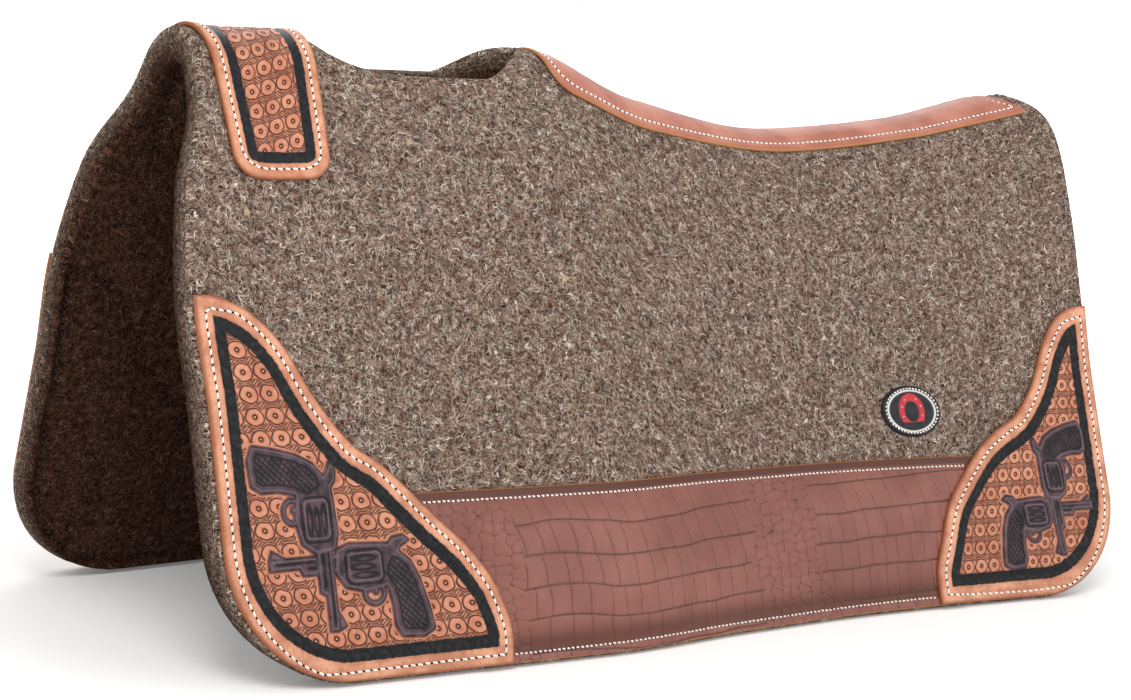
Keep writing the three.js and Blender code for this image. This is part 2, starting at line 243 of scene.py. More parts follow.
def unit(vectors):
    return vectors / np.maximum(np.linalg.norm(vectors, axis=1, keepdims=True), 1e-6)


LATTICE = np.random.default_rng(11).random((64, 64, 64))


def noise(points, size, seed=0):
    """Smooth value noise from -1 to 1, with lumps about size mm across."""
    q = points / size + seed * 7.31 + 31.7
    cell = np.floor(q).astype(int)
    f = q - cell
    f = f * f * (3 - 2 * f)
    total = np.zeros(points.shape[:-1])
    for corner in product((0, 1), repeat=3):
        c = np.array(corner)
        i = (cell + c) % 64
        total += np.prod(np.where(c == 1, f, 1 - f), -1) * LATTICE[i[..., 0], i[..., 1], i[..., 2]]
    return total * 2 - 1


def distance(points, line):
    """Distance from each (N, 2) point to a polyline."""
    best = np.full(len(points), np.inf)
    for a, b in zip(line[:-1], line[1:]):
        d = b - a
        t = np.clip(((points - a) @ d) / max(d @ d, 1e-9), 0, 1)
        off = points - a - t[:, None] * d
        best = np.minimum(best, np.hypot(off[:, 0], off[:, 1]))
    return best


def ridge(d, width):
    return np.exp(-((d / width) ** 2))


def step(x, low, high):
    t = np.clip((x - low) / (high - low), 0, 1)
    return t * t * (3 - 2 * t)


def graded(length, spacing, edge):
    """Shares of a length from 0 to 1: the edge distances at both ends, even spacing between."""
    edge = np.array(edge)
    middle = np.linspace(edge[-1], length - edge[-1], int(round((length - 2 * edge[-1]) / spacing)) + 1)
    return np.r_[edge[:-1], middle, length - edge[-2::-1]] / length


def lumps(points, seed, *layers):
    """Noise of several sizes added up, from (height, size) pairs."""
    return sum(height * noise(points, size, seed + i) for i, (height, size) in enumerate(layers))


def rim_distance(y, down, stride):
    """A grid's places as (N, 2), and the distance of each from the grid's rim."""
    places = stack(y, down)
    rim = places[ring_places(y.shape[0] - 1, y.shape[1] - 1)]
    places = places.reshape(-1, 2)
    return places, distance(places, np.vstack([rim, rim[:1]])[::stride])


def resample(line, pitch):
    """Points evenly spaced along a polyline, by the length of its first three columns."""
    along = np.r_[0, np.cumsum(np.linalg.norm(np.diff(line[:, :3], axis=0), axis=1))]
    count = max(2, int(round(along[-1] / pitch)) + 1)
    at = np.linspace(0, along[-1], count)
    return np.column_stack([np.interp(at, along, column) for column in line.T])


# ---- mesh making
def make_mesh(name, verts, faces, materials, attributes=None, face_material=None, side=1):
    """A mesh object from millimetres. side -1 mirrors it to the pad's other half."""
    verts = np.array(verts, float) * 0.001
    if side < 0:
        verts[:, 0] *= -1
        faces = [face[:, ::-1] for face in faces]
    mesh = bpy.data.meshes.new(name)
    mesh.from_pydata(verts.tolist(), [], [f for block in faces for f in block.tolist()])
    for key, values in (attributes or {}).items():
        layer = mesh.attributes.new(key, "FLOAT", "POINT")
        layer.data.foreach_set("value", np.ascontiguousarray(values, np.float32))
    for material in materials:
        mesh.materials.append(material)
    if face_material is not None:
        mesh.polygons.foreach_set("material_index", np.ascontiguousarray(face_material, np.int32))
    mesh.polygons.foreach_set("use_smooth", np.ones(len(mesh.polygons), bool))
    mesh.update()
    obj = bpy.data.objects.new(name, mesh)
    bpy.context.scene.collection.objects.link(obj)
    return obj


def ring_places(rows, columns):
    """Grid places round the rim of a (rows+1, columns+1) grid, in order."""
    r = [0] * columns + list(range(rows)) + [rows] * columns + list(range(rows, 0, -1))
    c = list(range(columns)) + [columns] * rows + list(range(columns, 0, -1)) + [0] * rows
    return np.array(r), np.array(c)


def shell(top, layers, back, coarse):
    """A closed sheet: a fine outer face, wall layers, and a back on every coarse-th grid line.

    Returns vertices and face blocks. Vertices run: outer face, wall layers, inner nodes of the back.
    """
    rows, columns = top.shape[0] - 1, top.shape[1] - 1
    ids = np.arange((rows + 1) * (columns + 1)).reshape(rows + 1, columns + 1)
    quads = [stack(ids[:-1, :-1], ids[:-1, 1:], ids[1:, 1:], ids[1:, :-1]).reshape(-1, 4)]
    r, c = ring_places(rows, columns)
    ring = ids[r, c]
    count, start = len(ring), ids.size
    verts = [top.reshape(-1, 3)]
    for layer in layers:
        low = np.arange(start, start + count)
        nxt = np.roll(np.arange(count), -1)
        quads.append(stack(ring[nxt], ring, low, low[nxt]))
        verts.append(layer)
        ring, start = low, start + count
    inner_r, inner_c = np.arange(coarse, rows, coarse), np.arange(coarse, columns, coarse)
    nodes = np.arange(start, start + len(inner_r) * len(inner_c)).reshape(len(inner_r), len(inner_c))
    verts.append(back[np.ix_(inner_r, inner_c)].reshape(-1, 3))
    quads.append(stack(nodes[:-1, 1:], nodes[:-1, :-1], nodes[1:, :-1], nodes[1:, 1:]).reshape(-1, 4))

    def nearest(i, j):
        rm, cm = (r[i] + r[j]) / 2, (c[i] + c[j]) / 2
        row = np.clip(np.round(rm / coarse).astype(int) - 1, 0, len(inner_r) - 1)
        column = np.clip(np.round(cm / coarse).astype(int) - 1, 0, len(inner_c) - 1)
        return nodes[row, column]

    i = np.arange(count)
    j = np.roll(i, -1)
    near = nearest(i, j)
    before = np.roll(near, 1)
    change = before != near
    tris = [stack(ring[j], ring[i], near), stack(ring[i], before, near)[change]]
    return np.vstack(verts), [np.vstack(quads), np.vstack(tris)]


# ---- materials
def colour(code):
    rgb = np.array([int(code[i : i + 2], 16) for i in (0, 2, 4)]) / 255
    return (*np.where(rgb < 0.04045, rgb / 12.92, ((rgb + 0.055) / 1.055) ** 2.4), 1.0)


def operator(operation, swapped=False):
    """A method that puts a Value and another number through a maths node."""

    def method(self, other):
        return self.shader.math(operation, *((other, self) if swapped else (self, other)))

    return method


class Value:
    """A number, colour or place in a node tree. Numbers take the usual operators."""

    __add__ = __radd__ = operator("ADD")
    __mul__ = __rmul__ = operator("MULTIPLY")
    __sub__ = operator("SUBTRACT")
    __rsub__ = operator("SUBTRACT", swapped=True)
    __truediv__ = operator("DIVIDE")
    above = operator("MAXIMUM")

    def __init__(self, shader, socket):
        self.shader, self.socket = shader, socket

    def size(self):
        return self.shader.math("ABSOLUTE", self)

    def spread(self, low, high, to_low=0.0, to_high=1.0):
        """Smoothly from one number to another as this value goes from low to high."""
        inputs = {"Value": self, "From Min": low, "From Max": high, "To Min": to_low, "To Max": to_high}
        return self.shader.add("MapRange", inputs, "Result", interpolation_type="SMOOTHSTEP")

    def line(self, width):
        """1 where this value is 0, fading out within width of it."""
        return self.size().spread(0.0, width, 1.0, 0.0)

    def beyond_whole(self):
        """How far this value is from the nearest whole number, from -0.5 to 0.5."""
        return self - self.shader.math("ROUND", self)


class Shader:
    """Builds a node material, one helper per kind of node. Places are in mm, colours are hex codes."""

    def __init__(self, name, roughness=0.6, shine=0.25):
        self.material = bpy.data.materials.new(name)
        self.material.use_nodes = True
        self.nodes, self.links = self.material.node_tree.nodes, self.material.node_tree.links
        self.bsdf = self.nodes["Principled BSDF"]
        self.set("Roughness", roughness)
        self.set("Specular IOR Level", shine)
        self.place = self.vector_math("SCALE", self.add("TexCoord", {}, "Object"), 1000.0)

    def put(self, socket, value):
        if isinstance(value, Value):
            self.links.new(value.socket, socket)
        else:
            socket.default_value = colour(value) if isinstance(value, str) else value

    def set(self, name, value):
        self.put(self.bsdf.inputs[name], value)

    def add(self, kind, inputs, output, **settings):
        """A new node's output. Inputs and outputs go by name or by number."""
        node = self.nodes.new("ShaderNode" + kind)
        for key, setting in settings.items():
            setattr(node, key, setting)
        for key, value in inputs.items():
            self.put(node.inputs[key], value)
        return Value(self, node.outputs[output])

    def attribute(self, name):
        return self.add("Attribute", {}, "Fac", attribute_name=name)

    def math(self, operation, a, b=0.0):
        return self.add("Math", {0: a, 1: b}, 0, operation=operation)

    def length(self, a, b):
        return self.math("SQRT", a * a + b * b)

    def vector(self, *parts):
        return self.add("CombineXYZ", dict(enumerate(parts)), 0)

    def vector_math(self, operation, a, b=(0.0, 0.0, 0.0)):
        second = "Scale" if operation == "SCALE" else 1
        output = "Value" if operation == "LENGTH" else "Vector"
        return self.add("VectorMath", {0: a, second: b}, output, operation=operation)

    def noise(self, size, detail=2.0, roughness=0.5, at=None, output="Fac"):
        inputs = {"Vector": at or self.place, "Scale": 1.0 / size, "Detail": detail, "Roughness": roughness}
        return self.add("TexNoise", inputs, output)

    def cells(self, size, at=None):
        return self.add("TexVoronoi", {"Vector": at or self.place, "Scale": 1.0 / size}, "Distance")

    def mapped(self, at, turn=0.0, size=(1.0, 1.0, 1.0), shift=0.0):
        """Places shifted, turned about their third axis and divided by size."""
        location, rotation = (shift, shift * 0.7, -shift * 1.3), (0.0, 0.0, turn)
        inputs = {"Vector": at, "Location": location, "Rotation": rotation, "Scale": size}
        return self.add("Mapping", inputs, "Vector", vector_type="TEXTURE")

    def mix(self, share, a, b, blend="MIX"):
        return self.add("Mix", {0: share, 6: a, 7: b}, 2, data_type="RGBA", blend_type=blend)

    def bump(self, height, distance, strength=1.0):
        inputs = {"Strength": strength, "Distance": distance * 0.001, "Height": height}
        self.set("Normal", self.add("Bump", inputs, "Normal"))

    def coat(self, weight, roughness):
        self.set("Coat Weight", weight)
        self.set("Coat Roughness", roughness)

    def finish(self, base, roughness=None):
        self.set("Base Color", base)
        if roughness is not None:
            self.set("Roughness", roughness)
        return self.material


def felt_material():
    """Pressed wool: mottled brown under a tangle of thin light and dark fibres lying in the surface."""
    m = Shader("pressed_wool", 0.95, 0.08)
    flat = m.vector(m.attribute("along"), m.attribute("down"), m.attribute("depth"))
    bend = m.vector_math("SUBTRACT", m.noise(9.0, 2, at=flat, output="Color"), (0.5, 0.5, 0.5))
    bent = m.vector_math("ADD", flat, m.vector_math("SCALE", bend, 9.0))

    def fibres(turns, width, length, shift, low, high):
        tangle = None
        for i, turn in enumerate(turns):
            lie = m.mapped(bent, turn, (length, width, width * 3), shift + 31.0 * i)
            strand = m.noise(1.0, 0.6, at=lie).spread(low, high)
            tangle = strand if tangle is None else tangle.above(strand)
        return tangle

    mottle = m.noise(2.6, 2, 0.6, at=flat).spread(0.42, 0.58)
    base = m.mix(mottle, "34211a", "987a6b")
    cloud = m.noise(12, 4, 0.65, at=flat).spread(0.4, 0.62)
    base = m.mix(cloud * 0.4, base, "907669")
    warm = m.noise(6, 3, 0.6, at=m.mapped(flat, shift=37.0)).spread(0.48, 0.64, 0.0, 0.7)
    base = m.mix(warm, base, "754736")
    dark = fibres((0.3, 1.2, 2.2), 0.9, 6.0, 5.0, 0.55, 0.64)
    base = m.mix(dark * 0.85, base, "1e130f")
    dull = fibres((0.0, 0.8, 1.6, 2.5), 0.65, 8.0, 90.0, 0.60, 0.68)
    patch = m.noise(5.0, 2, at=m.mapped(flat, shift=55.0)).spread(0.42, 0.58)
    base = m.mix(dull * (0.3 + patch * 0.6), base, "a89382")
    bright = fibres((0.5, 1.3, 2.0, 2.9), 0.6, 11.0, 190.0, 0.65, 0.71)
    base = m.mix(bright * (0.45 + patch * 0.55), base, "e2d4c4")
    speck = m.cells(58, at=m.mapped(flat, shift=90.0)) + m.noise(2.5, 2) * 0.06
    base = m.mix(speck.spread(0.060, 0.080, 0.75, 0.0), base, "cdb793")
    # The inner face, and the cut edge towards it, is darkened by the inside mask: painted shade.
    inside = m.attribute("inside")
    base = m.mix(inside, base, m.mix(1.0, base, "84695d", "MULTIPLY"))
    ply = m.math("SINE", m.attribute("depth") * 3.1 + m.noise(5, 2) * 5.0)
    pale = m.mix(1.0, base, "cdc7ba", "MULTIPLY")
    base = m.mix(m.attribute("rim"), base, m.mix(ply.spread(-0.6, 0.8), pale, base))
    m.bump(mottle * 0.8 + bright * 0.6 + dull * 0.4 - dark * 0.4, 0.9, 0.9)
    return m.finish(base)


def stamped_lines(m):
    """The stamping tools' marks: dark lines, burnt hollows and a raised bead at each seed, made bright by a
    painted highlight.
    """
    u, v = m.attribute("stamp_u"), m.attribute("stamp_v")
    a, b = u.beyond_whole() * STAMP, v.beyond_whole() * STAMP
    radius = m.length(a, b)
    turn = m.math("ARCTAN2", b, a)
    uneven = (m.noise(7.0, 2) - 0.5) * 2.2
    lobes = m.math("COSINE", turn * 5.0 + 0.5) * 0.14 + uneven + 6.2
    spread = m.length(a, b * 1.1)
    outline = (spread - lobes).line(1.05)
    arc = (spread - lobes - 1.6).line(0.75) * b.size().spread(3.6, 4.6)
    ra, rb = (u + 0.5).beyond_whole() * STAMP, (v + 0.5).beyond_whole() * STAMP
    stroke = ((ra + rb * 1.15) / 2.5).beyond_whole() * 2.5
    knot = stroke.line(1.0) * ra.size().spread(3.0, 3.8, 1.0, 0.0) * rb.size().spread(2.0, 2.8, 1.0, 0.0)
    outside = (spread - lobes).spread(-0.3, 0.3)
    lines = outline.above((arc * 0.9).above(knot) * outside)
    hollow = radius.spread(0.9, 3.3, 1.0, 0.0)
    pit = (radius - 1.25).line(0.95)
    return lines.above(pit), hollow, radius.spread(0.35, 0.75, 1.0, 0.0)


def tooled_material():
    """Carved vegetable-tanned leather with a black dyed border and a dark dyed motif."""
    m = Shader("tooled_leather", 0.5, 0.2)
    tan = m.mix(m.noise(18, 4, 0.65).spread(0.35, 0.65), "b0755a", "d39a7c")
    tan = m.mix(m.noise(1.6, 3).spread(0.5, 0.75, 0, 0.5), tan, "9a5a3c")
    edge = m.attribute("inset") + (m.noise(3.2, 2) - 0.5) * 1.6
    low, high = m.attribute("border_low"), m.attribute("border_high")
    field = (edge - high).spread(-0.25, 0.3)
    border = (edge - low).spread(-0.2, 0.2) * (1.0 - field)
    lines, hollow, seed_highlight = stamped_lines(m)
    gun, drum = m.attribute("gun"), m.attribute("drum")
    flute, panel = m.attribute("flute"), m.attribute("panel")
    motif = gun.spread(-0.1, 0.2, 1.0, 0.0)
    clear = gun.spread(1.2, 2.0)
    carved = field * clear
    tan = m.mix(field * 0.4, tan, "b0654c")
    tan = m.mix(carved * hollow * 0.8, tan, "8a4526")
    tan = m.mix(carved * lines, tan, "34120c")
    # Each seed's bead is lightened: painted highlight.
    tan = m.mix(carved * seed_highlight * 0.8, tan, "d9b59c")
    rimmed = m.attribute("inset").spread(0.8, 3.2, 0.5, 0.0) * m.noise(7, 3).spread(0.35, 0.6, 0.4, 1.0)
    tan = m.mix(m.attribute("burnish_and_shade").above(rimmed) * 0.8, tan, "7c3d26")
    shade = (gun - 0.2).line(1.0) * (1.0 - motif)
    tan = m.mix(shade * 0.85, tan, "471d14")
    ink = m.mix(m.noise(3, 3).spread(0.35, 0.7), "0e0e10", "212226")
    base = m.mix(border, tan, m.mix(lines * m.attribute("ribbed") * 0.8, ink, "060607"))
    dye = m.mix(m.noise(9, 3, 0.6).spread(0.35, 0.65), "241c22", "4c3a41")
    u, v = m.attribute("stamp_u"), m.attribute("stamp_v")
    hatch_one, hatch_two = (((u + lean) * 3.4).beyond_whole().line(0.25) for lean in (v * 0.8, v * -0.8))
    hatch = hatch_one.above(hatch_two) * panel.spread(-1.0, -0.6, 1.0, 0.0)
    etched = panel.line(1.15).above(drum.line(1.1)).above(flute.line(0.9)).above(hatch)
    dye = m.mix(panel.spread(-0.4, 0.2, 0.25, 0.0), dye, "1b1416")
    dye = m.mix(etched * 0.95, dye, "080506")
    # Painted highlight along the motif's raised ridges, round its outline and its drum.
    ridge_highlight = (gun + 1.9).line(1.1).above((drum + 2.1).line(0.9)) * 0.4
    dye = m.mix(ridge_highlight, dye, "836a6e")
    base = m.mix(motif, base, dye)
    base = m.mix(m.attribute("raw_edge"), base, m.mix(m.noise(2, 3), "834426", "a9683c"))
    grain = m.cells(0.9) * 0.1 + m.noise(1.4, 3) * 0.3
    cut = carved * (lines * 0.9 + hollow * 0.5 - seed_highlight * 0.9) + border * lines * m.attribute("ribbed") * 0.8
    m.bump(grain - cut * (1.0 - motif) - motif * etched * 0.9, 0.55, 0.8)
    m.coat(0.04, 0.35)
    return m.finish(base, motif.spread(0, 1, 0.5, 0.33))


def plain_leather_material():
    m = Shader("plain_leather", 0.42)
    base = m.mix(m.noise(40, 4, 0.6).spread(0.3, 0.7), "9f5f4e", "ba7c68")
    base = m.mix(m.noise(2.2, 4, 0.7).spread(0.5, 0.75, 0, 0.3), base, "8f4c38")
    base = m.mix(m.attribute("burnish_and_shade") * 0.6, base, "96502f")
    base = m.mix(m.attribute("raw_edge"), base, "b07a4a")
    m.bump(m.noise(1.1, 4, 0.6) + m.cells(1.3) * 0.5, 0.15, 0.5)
    m.coat(0.1, 0.3)
    return m.finish(base)


def scaled_leather_material():
    """Brown leather embossed with reptile scales, dark in its creases."""
    m = Shader("scaled_leather", 0.36, 0.25)
    base = m.mix(m.noise(60, 4, 0.6).spread(0.3, 0.7), "76483f", "89574d")
    base = m.mix(m.attribute("crease").spread(0.15, 0.75, 0.75, 0.0), base, "3a1a12")
    # Darker margin above the upper stitch row, and painted shade above the lower row where the puffed band
    # curves under.
    base = m.mix(m.attribute("burnish_and_shade") * 0.95, base, "4c271a")
    base = m.mix(m.attribute("raw_edge"), base, m.mix(m.noise(3, 2), "a5652f", "c98a4e"))
    m.bump(m.noise(0.9, 4, 0.6) + m.cells(1.1) * 0.6, 0.12, 0.5)
    m.coat(0.1, 0.3)
    return m.finish(base)


def thread_material(name, dark, light):
    m = Shader(name, 0.55)
    m.bump(m.noise(0.5, 2), 0.1, 0.6)
    return m.finish(m.mix(m.noise(1.2, 2).spread(0.3, 0.7), dark, light))


def hole_shade_material():
    # Near-black for the needle holes: painted shade.
    m = Shader("needle_hole_shade", 0.9, 0.0)
    return m.finish(m.mix(m.noise(1.0), "120b08", "22160f"))


def label_material():
    m = Shader("label_rubber", 0.45)
    base = m.mix(m.noise(5, 3).spread(0.3, 0.7), "131417", "24262b")
    base = m.mix(m.attribute("white"), base, "e4e2de")
    base = m.mix(m.attribute("red"), base, "b03038")
    m.bump(m.noise(0.8, 3), 0.1, 0.4)
    return m.finish(base)


WOOL = felt_material()
TOOLED_LEATHER = tooled_material()
PLAIN_LEATHER = plain_leather_material()
SCALED_LEATHER = scaled_leather_material()
THREAD = thread_material("waxed_thread", "d9d2c6", "f6f3ee")
# Dark brown thread for the rows on the felt's inner face: painted shade.
SHADED_BOBBIN = thread_material("shaded_bobbin_thread", "2e221b", "4a3a2f")
HOLE_SHADE = hole_shade_material()
LABEL = label_material()

LEFT, RIGHT = "left_half", "right_half"
END = {1: "left", -1: "right"}
BEND_REACH, BEND_HEIGHT = 0.062, 0.36


def attach(obj, node, side):
    """The piece stands for a CAD node, whose part it hides, and rides on its half; when side is 0 it lies
    across the fold and only has its transform baked.
    """
    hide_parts(node)
    if side:
        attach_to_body(obj, LEFT if side > 0 else RIGHT)
    else:
        start, end = (BEND_REACH, 0, BEND_HEIGHT), (-BEND_REACH, 0, BEND_HEIGHT)
        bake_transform(obj)
        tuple(start)
        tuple(end)


# ---- stitch rows, as (y, s) lines
def corner_row(corner):
    """The row round a corner leather: up its ogee, down its outer edge, back along its foot."""
    up = np.linspace(STITCH_INSET + 0.5, corner.top - 12, 60)
    slope = np.gradient(corner.inner(up), up)
    aslant = STITCH_INSET * np.sqrt(1 + slope**2).clip(1, 2.6)
    ogee = stack(corner.inner(up) + corner.side * aslant, up)
    down = np.linspace(corner.top - 8, STITCH_INSET, 60)
    edge = stack(corner.outer(down) - corner.side * STITCH_INSET, down)
    keep = corner.side * (edge[:, 0] - np.interp(down, up, ogee[:, 0])) > 2
    y, z = np.vstack([ogee, edge[keep], ogee[:1]]).T
    return stack(y, reach(y, z))


def band_row(front_height, rear_height):
    y = np.linspace(float(FRONT.inner(front_height)) + 2, float(REAR.inner(rear_height)) - 2, 60)
    return stack(y, reach(y, np.linspace(front_height, rear_height, 60)))


def strap_row():
    s = np.linspace(STITCH_INSET - STRAP_DROP, STRAP_DROP - STITCH_INSET, 90)
    front = stack(strap_yz(0.0, s, STITCH_INSET), s)
    rear = stack(strap_yz(1.0, s[::-1], STITCH_INSET), s[::-1])
    return np.vstack([front, rear, front[:1]])


def strip_row():
    u, across = np.linspace(0, 1, 90), np.linspace(1, -1, 24)
    sides = [(u, np.ones(90)), (np.ones(24), across), (u[::-1], -np.ones(90)), (np.zeros(24), -across)]
    return np.vstack([stack(*strip_ys(a, b, STITCH_INSET)) for a, b in sides])


ROWS = {
    "front_corner": corner_row(FRONT),
    "rear_corner": corner_row(REAR),
    "band_upper": band_row(BAND_TOP_FRONT - STITCH_INSET, BAND_TOP_REAR - STITCH_INSET),
    "band_lower": band_row(STITCH_INSET, STITCH_INSET),
    "strap": strap_row(),
    "strip": strip_row(),
}


# ---- felt panels
def felt_panel(side):
    """One half of the felt: a lumpy outer face, a dimpled inner face and a cut edge that shows its plies."""
    cell, margin = 3.8, (0, 0.5, 1.2, 2.2, 3.6, 5.6, 8.6)
    share, u = grid(graded(430.0, cell, margin)[::-1], graded(790.0, cell, margin))
    low, high = front_edge(share), rear_edge(share)
    y = low + (high - low) * u
    top = np.maximum(notch_reach(y), 0.02)
    s, s_in = (top + (reach(y, 0.0, offset) - top) * share for offset in (0.0, -FELT))
    base = pad_point(y, s, 0.0)
    z = base[..., 2]
    places, d = rim_distance(y, s, 2)
    d = d.reshape(y.shape)
    at_seam = (1 - step(s, 2, 9)) * (1 - step(top, 0.5, 4))
    radius = np.maximum(2.2 + 3.0 * step(z, 150, 260) - 2.6 * at_seam * (s < 12), 0.6)
    roll = corner_inset(d, radius)
    fade = step(d, 0, 7)

    seed = 3 if side > 0 else 8
    under = felt_cover(y, s, z)
    rough = lumps(base, seed, (0.7, 46), (0.45, 15), (0.28, 6.5))
    outer = pad_point(y, s, rough * fade * (1 - under) - roll - 0.9 * under)
    gap = [distance(places, row) for row in ROWS.values()]
    pull = np.maximum.reduce([3.0 * ridge(g, 3.4) + 2.4 * ridge(g, 13) for g in gap])
    pull = pull.reshape(y.shape) * step(d, 1, 6)
    rough_back = lumps(base, seed + 3, (1.0, 60), (0.6, 17), (0.3, 7))
    back = pad_point(y, s_in, roll + pull + rough_back * fade - FELT)

    rows, columns = y.shape[0] - 1, y.shape[1] - 1
    r, c = ring_places(rows, columns)
    ring_out, ring_in = outer[r, c], back[r, c]
    outward = unit(base[r, c] - base[np.clip(r, 3, rows - 3), np.clip(c, 3, columns - 3)])
    open_edge = step(np.abs(ring_out[:, 0]), 0.5, 3)[:, None]
    depths = np.arange(1, 10) / 9
    layers = []
    for w in depths[:-1]:
        point = ring_out + (ring_in - ring_out) * w
        ply = 0.45 * np.sin(w * 26 + 2.0 * noise(point, 30, seed)) + 0.5 * noise(point, 5, seed + 6)
        bulge = (0.9 * np.sin(np.pi * w) + ply * min(1, 4 * w, 4 * (1 - w)))[:, None]
        layers.append(point + outward * bulge * open_edge)
    verts, faces = shell(outer, layers + [ring_in], back, 1)

    wall = depths[:, None] * np.ones(len(r))
    inner = (slice(1, -1), slice(1, -1))

    def by_part(outer_value, wall_value, inner_value):
        """One number per vertex, in the shell's order: outer face, wall layers, inner face."""
        parts = (outer_value, y.shape), (wall_value, wall.shape), (inner_value, y[inner].shape)
        return np.concatenate([np.broadcast_to(value, shape).ravel() for value, shape in parts])

    down = by_part(s, s[r, c] + (s_in[r, c] - s[r, c]) * wall, s_in[inner])
    # inside runs from 0 on the outer face across the cut edge to 1 on the inner face; the wool shader
    # darkens by it as painted shade.
    attributes = {"rim": by_part(0.0, wall < 1, 0.0), "inside": by_part(0.0, wall, 1.0), "down": down * side,
                  "depth": by_part(0.0, wall * FELT, FELT), "along": by_part(y, y[r, c], y[inner])}
    obj = make_mesh(f"wool_panel_{END[side]}", verts, faces, [WOOL], attributes, side=side)
    attach(obj, f"felt_panel_{END[side]}", 0)


def short_of(x, end):
    """1 before end, fading to 0 across it."""
    return 1 - step(x, end - 3, end + 1)


def felt_cover(y, s, z):
    """1 where a leather lies on the felt, fading out at the leather's edge."""
    front_outer, front_inner = FRONT.outer(z.clip(0, FRONT.top - 1)), FRONT.inner(z)
    front = step(y, front_outer - 1, front_outer + 2) * short_of(y, front_inner) * short_of(z, FRONT.top)
    rear = step(y, REAR.inner(z) - 1, REAR.inner(z) + 3) * short_of(z, REAR.top)
    band = short_of(z, band_top(y)) * (y > front_inner) * (y < REAR.inner(z))
    strap_rear = STRAP_REAR - STRAP_TAPER * s / STRAP_DROP
    strap = short_of(s, STRAP_DROP) * step(y, STRAP_FRONT - 1, STRAP_FRONT + 3) * short_of(y, strap_rear)
    strip = short_of(s, strip_half_width(y)) * (y > STRIP_FRONT) * (y < STRIP_REAR + STRIP_TAIL)
    return np.maximum.reduce([front, rear, band, strap, strip])


# ---- tooling
def stamp_relief(u, v):
    """Height in mm of the stamped field: low domes with a seed hollow, sunk between them."""
    a, b = (u - np.round(u)) * STAMP, (v - np.round(v)) * STAMP
    radius = np.hypot(a, b)
    return 0.1 - 0.55 * step(radius, 4.8, 6.6) - 0.45 * ridge(radius, 2.0)


def polygon_sdf(p, corners):
    """Signed distance to a polygon, negative inside."""
    corners = np.array(corners, float)
    d = distance(p, np.vstack([corners, corners[:1]]))
    inside = np.zeros(len(p), bool)
    for (x0, y0), (x1, y1) in zip(corners, np.roll(corners, -1, 0)):
        crosses = (y0 > p[:, 1]) != (y1 > p[:, 1])
        inside ^= crosses & (p[:, 0] < (x1 - x0) * (p[:, 1] - y0) / (y1 - y0 + 1e-12) + x0)
    return np.where(inside, -d, d)


GRIP = [(-30, 7), (-36, 6), (-42, 1), (-47, -9), (-51, -24), (-53, -35), (-47, -38), (-34, -37), (-31, -32),
        (-31, -22), (-29, -12), (-24, -4)]
FRAME_SHAPE = [(-37, 6), (-31, 11), (-5, 12.5), (3, 10), (4, -2), (-1, -9), (-14, -12), (-26, -10),
               (-32, -3)]
HAMMER = [(-34, 5), (-38, 10), (-44, 13), (-40, 16), (-33, 15), (-28, 10)]
BARREL = [(2, 8), (47, 8), (47, 2.4), (28, 2.4), (26, -1.5), (4, -1.5)]
SIGHT = [(36, 8), (45, 13), (47, 8)]


def revolver(p):
    """A plain revolver in profile, muzzle towards +X: signed distances to its outline, drum, drum flutes and
    grip panel, and its height in mm."""
    barrel, hammer, sight = (polygon_sdf(p, shape) for shape in (BARREL, HAMMER, SIGHT))
    grip, body = polygon_sdf(p, GRIP) - 2.2, polygon_sdf(p, FRAME_SHAPE) - 1.6
    drum = np.hypot(*np.maximum(np.abs(p - (-13, 0.5)) - (7.5, 4.6), 0).T) - 4.6
    guard = np.abs(np.hypot(p[:, 0] + 18, (p[:, 1] + 14) * 1.1) - 6.2) - 1.7
    trigger = np.hypot(p[:, 0] + 19, p[:, 1] + 13) - 2.2
    pieces = [barrel - 0.6, drum - 0.8, grip, body, guard, trigger, hammer - 0.6, sight - 0.4]
    outline = np.minimum.reduce(pieces)
    flutes = [np.hypot((p[:, 0] + 13 - reach_back) / 7.0, (p[:, 1] - v) / 1.5) - 1
              for v, reach_back in ((5.0, 0.0), (0.5, 1.5), (-4.0, 0.0))]
    slots = [np.hypot(np.maximum(np.abs(p[:, 0] - 24) - 19, 0), p[:, 1] - 5.6) - 0.3,
             np.hypot(np.maximum(np.abs(p[:, 0] - 14) - 9, 0), p[:, 1] - 2.0) - 0.3]
    flute = np.minimum(np.minimum.reduce(flutes) * 1.5, np.minimum.reduce(slots))
    panel = grip + 4.6
    height = 0.3 + 0.8 * (1 - step(outline, -2.4, 0.0)) + 0.6 * (1 - step(drum, -1.6, 0.2))
    height -= 0.5 * (1 - step(flute, -0.8, 0.3)) + 0.45 * (1 - step(panel, -0.8, 0.3))
    return outline, drum, flute, panel, height


